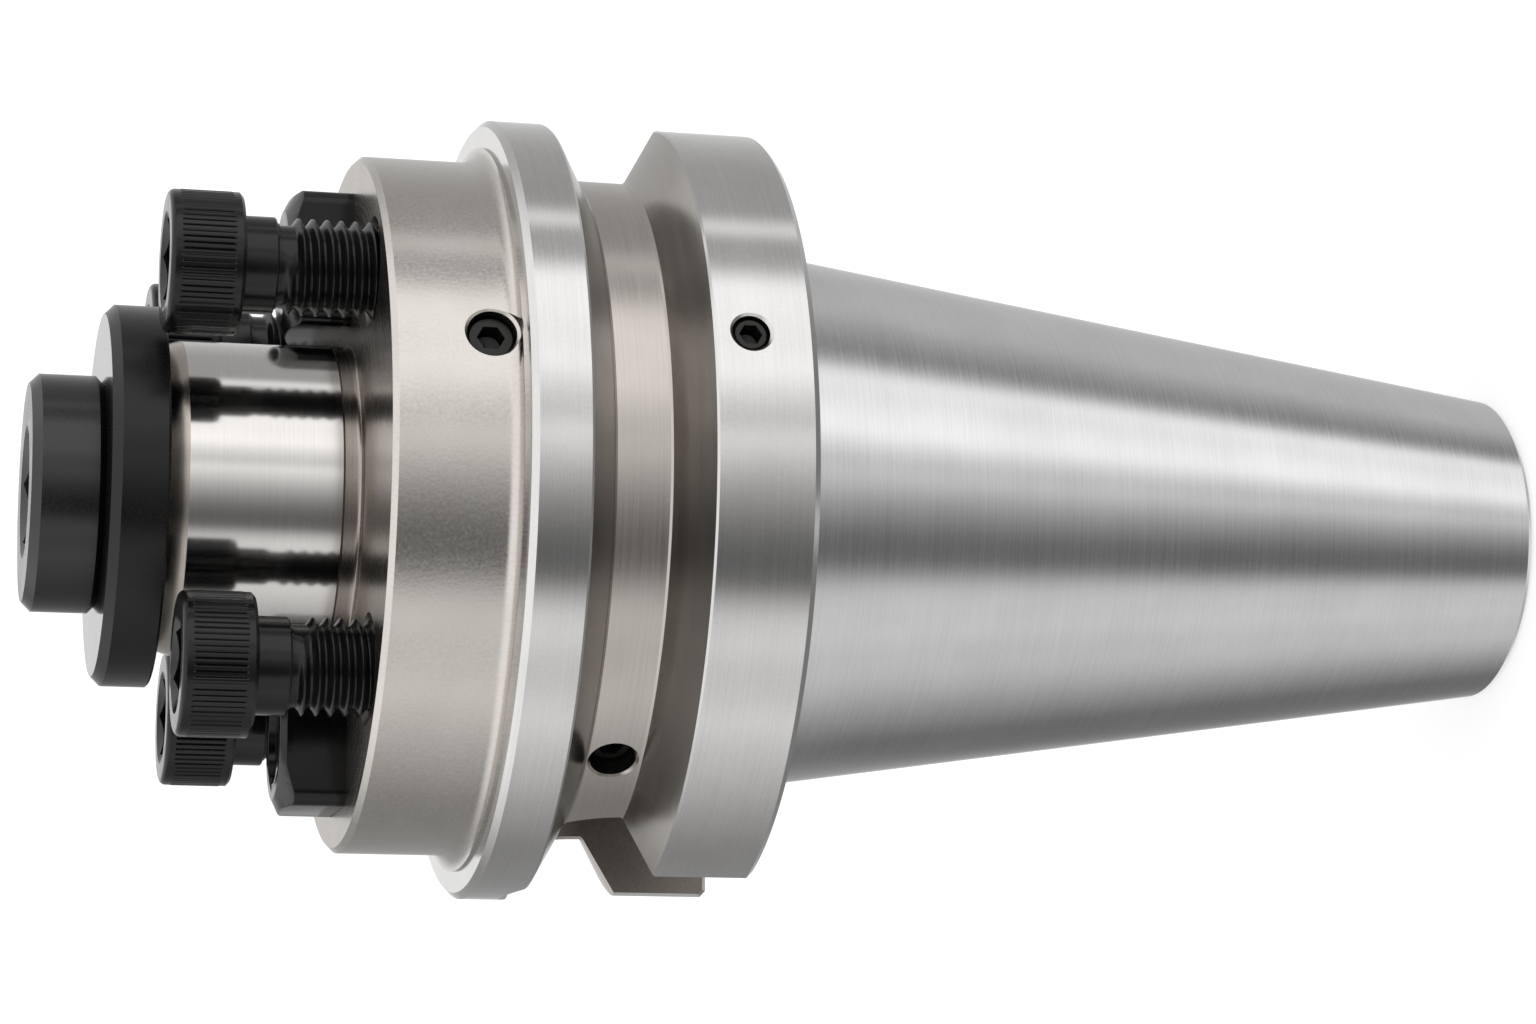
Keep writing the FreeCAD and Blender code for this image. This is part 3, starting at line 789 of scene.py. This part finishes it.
def retainingScrewMesh(s):
    turns = [2 * math.pi * n / s["columns"] for n in range(s["columns"])]
    front, seat, tip, bevel = s["headFront"], s["discFront"], s["tip"], s["tipChamfer"]
    outline = [(s["shank"] - bevel, tip), (s["shank"], tip + bevel), (s["shank"], seat),
               (s["headRadius"] - s["headUnder"], seat), (s["headRadius"], seat + s["headUnder"]),
               (s["headRadius"], front - s["headChamfer"]), (s["headRadius"] - s["headChamfer"], front)]
    rows = [[(0, tip)]] + [[place] * s["columns"] for place in outline] + hexSocket(s, turns, front)
    points, faces = skinned(rows, turns)
    return placedPoints(points, 0, 0, 0, s["spin"]), faces


def retainingDiscMesh(s):
    edge, back, front, sides = s["discRadius"], s["discBack"], s["discFront"], s["discSides"]
    outline = [(s["discHole"], back), (edge - s["discEdge"], back), (edge, back + s["discEdge"]),
               (edge, front - s["discChamfer"]), (edge - s["discChamfer"], front), (s["discHole"], front)]
    points, faces = skinned([[place] * sides for place in outline])
    last = sides * (len(outline) - 1)
    faces += [[last + n, last + (n + 1) % sides, (n + 1) % sides, n] for n in range(sides)]
    return points, faces


def buildRetaining(s):
    screw = meshPiece("retainingScrewBlack", *retainingScrewMesh(s))
    screw.data.materials.append(blacks["head"])
    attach(screw, "root")
    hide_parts("retaining_screw")
    disc = meshPiece("retainingDiscBlack", *retainingDiscMesh(s))
    disc.data.materials.append(blacks["washer"])
    disc.data.materials.append(blacks["face"])
    for face in disc.data.polygons:
        face.material_index = 1 if face.normal.z > 0.99 else 0  # the ground front face mirrors more
    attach(disc, "root")
    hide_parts("retaining_washer")


print("building the retaining screw and disc")
buildRetaining(retaining)


# the drive keys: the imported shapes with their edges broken
keys = {
    "nodes": ("drive_key_upper", "drive_key_lower"),
    "edgeBreak": 0.22, "edgeSteps": 2, "edgeAngle": 25.0,
    "weld": 0.002, "flatAngle": 0.5, "sharpAngle": 35.0,
}


def buildKeys(s):
    for node in s["nodes"]:
        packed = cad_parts[node]
        shape = bmesh.new()
        shape.from_mesh(packed.data)
        shape.transform(packed.matrix_world)
        bmesh.ops.remove_doubles(shape, verts=shape.verts, dist=s["weld"] * mm)
        flat = math.radians(s["flatAngle"])
        bmesh.ops.dissolve_limit(shape, angle_limit=flat, verts=shape.verts, edges=shape.edges)
        edges = [edge for edge in shape.edges if edge.is_manifold and edge.is_convex
                 and edge.calc_face_angle() > math.radians(s["edgeAngle"])]
        bmesh.ops.bevel(shape, geom=edges, offset=s["edgeBreak"] * mm, segments=s["edgeSteps"],
                        affect="EDGES", profile=0.5, clamp_overlap=True, miter_outer="ARC")
        mesh = bpy.data.meshes.new(node + "Black")
        shape.to_mesh(mesh)
        shape.free()
        key = bpy.data.objects.new(node + "Black", mesh)
        bpy.context.scene.collection.objects.link(key)
        tidyNormals(key, s["sharpAngle"])
        mesh.materials.clear()
        mesh.materials.append(blacks["key"])
        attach(key, "root")
        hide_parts(node)


print("breaking the edges of the drive keys")
buildKeys(keys)


# the keys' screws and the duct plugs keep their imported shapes
packedLooks = {
    "drive_key_screws": "screw",
    "hub_duct_plug": "plug", "flange_duct_plug": "plug", "groove_duct_plug": "plug",
}
print("dressing the packed pieces")
for node, look in packedLooks.items():
    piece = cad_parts[node]
    piece.data.materials.clear()
    piece.data.materials.append(blacks[look])


# studio: the camera at the photograph's angle, a pale floor and soft bands of light round the tool axis
camera = {
    "place": (517.107, -97.653, 124.177), "turn": (9.4408, 76.2802, -1.1172), "lens": 96.709,
    "sensor": 36.0, "near": 0.01, "far": 100.0,
}
studio = {
    "turn": 10.83,  # brings bearing 0 of the bands to the camera's side
    "strength": 1.5, "zenith": 1.25, "nadir": 0.26,
    # degrees round the tool axis from the camera, positive upward in the photograph, and the light from there
    "bands": (
        (-180, 0.60), (-160, 0.42), (-145, 0.35), (-120, 0.31), (-110, 0.34), (-96, 0.47), (-84, 0.63),
        (-72, 0.80), (-61, 0.98), (-50, 0.84), (-43, 0.82), (-36, 0.98), (-29, 0.92), (-24, 0.66),
        (-18, 0.18), (-11, 0.15), (-4, 0.22), (3, 0.36), (11, 0.60), (18, 0.88), (24, 1.15), (30, 0.80),
        (37, 1.08), (44, 1.48), (54, 1.36), (73, 1.48), (80, 0.54), (90, 0.48), (95, 1.30), (101, 0.44),
        (128, 0.46), (160, 0.66)),
    # the same for light that comes from the small end's side, which the taper mirrors
    "tailBands": (
        (-180, 0.60), (-160, 0.36), (-145, 0.23), (-120, 0.20), (-110, 0.30), (-96, 0.46), (-84, 0.65),
        (-72, 0.78), (-61, 0.78), (-50, 0.90), (-43, 0.84), (-36, 0.88), (-29, 0.78), (-24, 0.50),
        (-18, 0.18), (-11, 0.16), (-4, 0.20), (3, 0.32), (11, 0.48), (18, 0.70), (24, 0.92), (30, 0.74),
        (37, 1.04), (44, 1.50), (54, 1.36), (63, 1.20), (73, 1.45), (79, 0.52), (86, 0.26), (96, 0.44),
        (112, 0.66), (150, 0.62)),
    # between which slopes of a direction, -1 to 1 along the axis, each light takes over from the bands
    "toTail": (-0.28, -0.38), "toZenith": (0.35, 0.80), "toNadir": (-0.60, -0.92),
    # how many turns away from the camera's side the steel begins to mirror the white backdrop
    "toBackdrop": (0.455, 0.485),
    "floorColour": 0.5, "floorGlow": 0.62, "floorReach": 30.0,  # the reach in metres
}


def buildCamera(c):
    data = bpy.data.cameras.new("photoCamera")
    data.lens, data.sensor_width = c["lens"], c["sensor"]
    data.clip_start, data.clip_end = c["near"], c["far"]
    view = bpy.data.objects.new("photoCamera", data)
    view.location = [v * mm for v in c["place"]]
    view.rotation_euler = [math.radians(v) for v in c["turn"]]
    bpy.context.scene.collection.objects.link(view)
    bpy.context.scene.camera = view


def bandRamp(make, wrapped, bands, top):
    ramp = make("ShaderNodeValToRGB", {0: wrapped})
    stops = ramp.color_ramp
    while len(stops.elements) > 1:
        stops.elements.remove(stops.elements[-1])
    for n, (degrees, level) in enumerate(bands):
        place = (degrees + 180) / 360
        stop = stops.elements[0] if n == 0 else stops.elements.new(place)
        stop.position = place
        stop.color = (level / top, level / top, level / top, 1)
    return ramp.outputs[0]


def studioLight(make, s, height, wrapped):
    # soft bands round the tool axis, with a light of its own toward each end
    top, easing = s["strength"], "SMOOTHSTEP"
    sides, tail = [bandRamp(make, wrapped, s[key], top) for key in ("bands", "tailBands")]
    level = blended(make, between(make, height, s["toTail"], easing), sides, tail)
    for limits, light in (("toZenith", "zenith"), ("toNadir", "nadir")):
        share = between(make, height, s[limits], easing)
        level = blended(make, share, level, (s[light] / top,) * 3 + (1,))
    return make("ShaderNodeBackground", {"Color": level, "Strength": top}).outputs[0]


def buildWorld(s):
    world = bpy.data.worlds.new("studioWorld")
    world.use_nodes = True
    world.node_tree.nodes.clear()
    make = nodeMaker(world.node_tree)
    direction = make("ShaderNodeTexCoord").outputs["Generated"]
    split = make("ShaderNodeSeparateXYZ", {0: direction})
    bearing = worked(make, "ARCTAN2", split.outputs[1], split.outputs[0])
    turned = worked(make, "MULTIPLY_ADD", bearing, 1 / (2 * math.pi), (s["turn"] + 180) / 360)
    wrapped = worked(make, "FRACT", turned)
    light = studioLight(make, s, split.outputs[2], wrapped)
    white = make("ShaderNodeBackground", {"Color": (1, 1, 1, 1), "Strength": 1.0}).outputs[0]
    # the backdrop is white to the camera, through glass, and in the steel where it stands behind the holder
    path = make("ShaderNodeLightPath").outputs
    aside = worked(make, "ABSOLUTE", worked(make, "SUBTRACT", wrapped, 0.5))
    behind = between(make, aside, s["toBackdrop"])
    mirrored = worked(make, "MULTIPLY", path["Is Glossy Ray"], behind)
    seen = worked(make, "MAXIMUM", path["Is Camera Ray"], path["Is Transmission Ray"])
    pick = make("ShaderNodeMixShader", {0: worked(make, "MAXIMUM", seen, mirrored), 1: light, 2: white})
    make("ShaderNodeOutputWorld", {"Surface": pick.outputs[0]})
    bpy.context.scene.world = world


def buildFloor(s):
    # it catches the object's shadow for the camera, and the steel doesn't mirror it
    reach, level = s["floorReach"], cadBox[0][2]
    corners = [(x * reach, y * reach, level) for x, y in ((-1, -1), (1, -1), (1, 1), (-1, 1))]
    mesh = bpy.data.meshes.new("studioFloor")
    mesh.from_pydata(corners, [], [(0, 1, 2, 3)])
    floor = bpy.data.objects.new("studioFloor", mesh)
    bpy.context.scene.collection.objects.link(floor)
    material, make = freshMaterial("paleFloor")
    path = make("ShaderNodeLightPath").outputs
    paint = make("ShaderNodeBsdfDiffuse", {"Color": (s["floorColour"],) * 3 + (1,)}).outputs[0]
    glow = make("ShaderNodeEmission", {"Color": (1, 1, 1, 1), "Strength": s["floorGlow"]}).outputs[0]
    lit = make("ShaderNodeAddShader", {0: paint, 1: glow}).outputs[0]
    seen = make("ShaderNodeMixShader", {0: path["Is Camera Ray"], 1: paint, 2: lit}).outputs[0]
    clear = make("ShaderNodeBsdfTransparent").outputs[0]
    mirrored = make("ShaderNodeMixShader", {0: path["Is Glossy Ray"], 1: seen, 2: clear})
    make("ShaderNodeOutputMaterial", {"Surface": mirrored.outputs[0]})
    mesh.materials.append(material)


print("setting the studio")
buildCamera(camera)
buildWorld(studio)
buildFloor(studio)
bpy.context.scene.view_settings.view_transform = "Standard"

print("done")
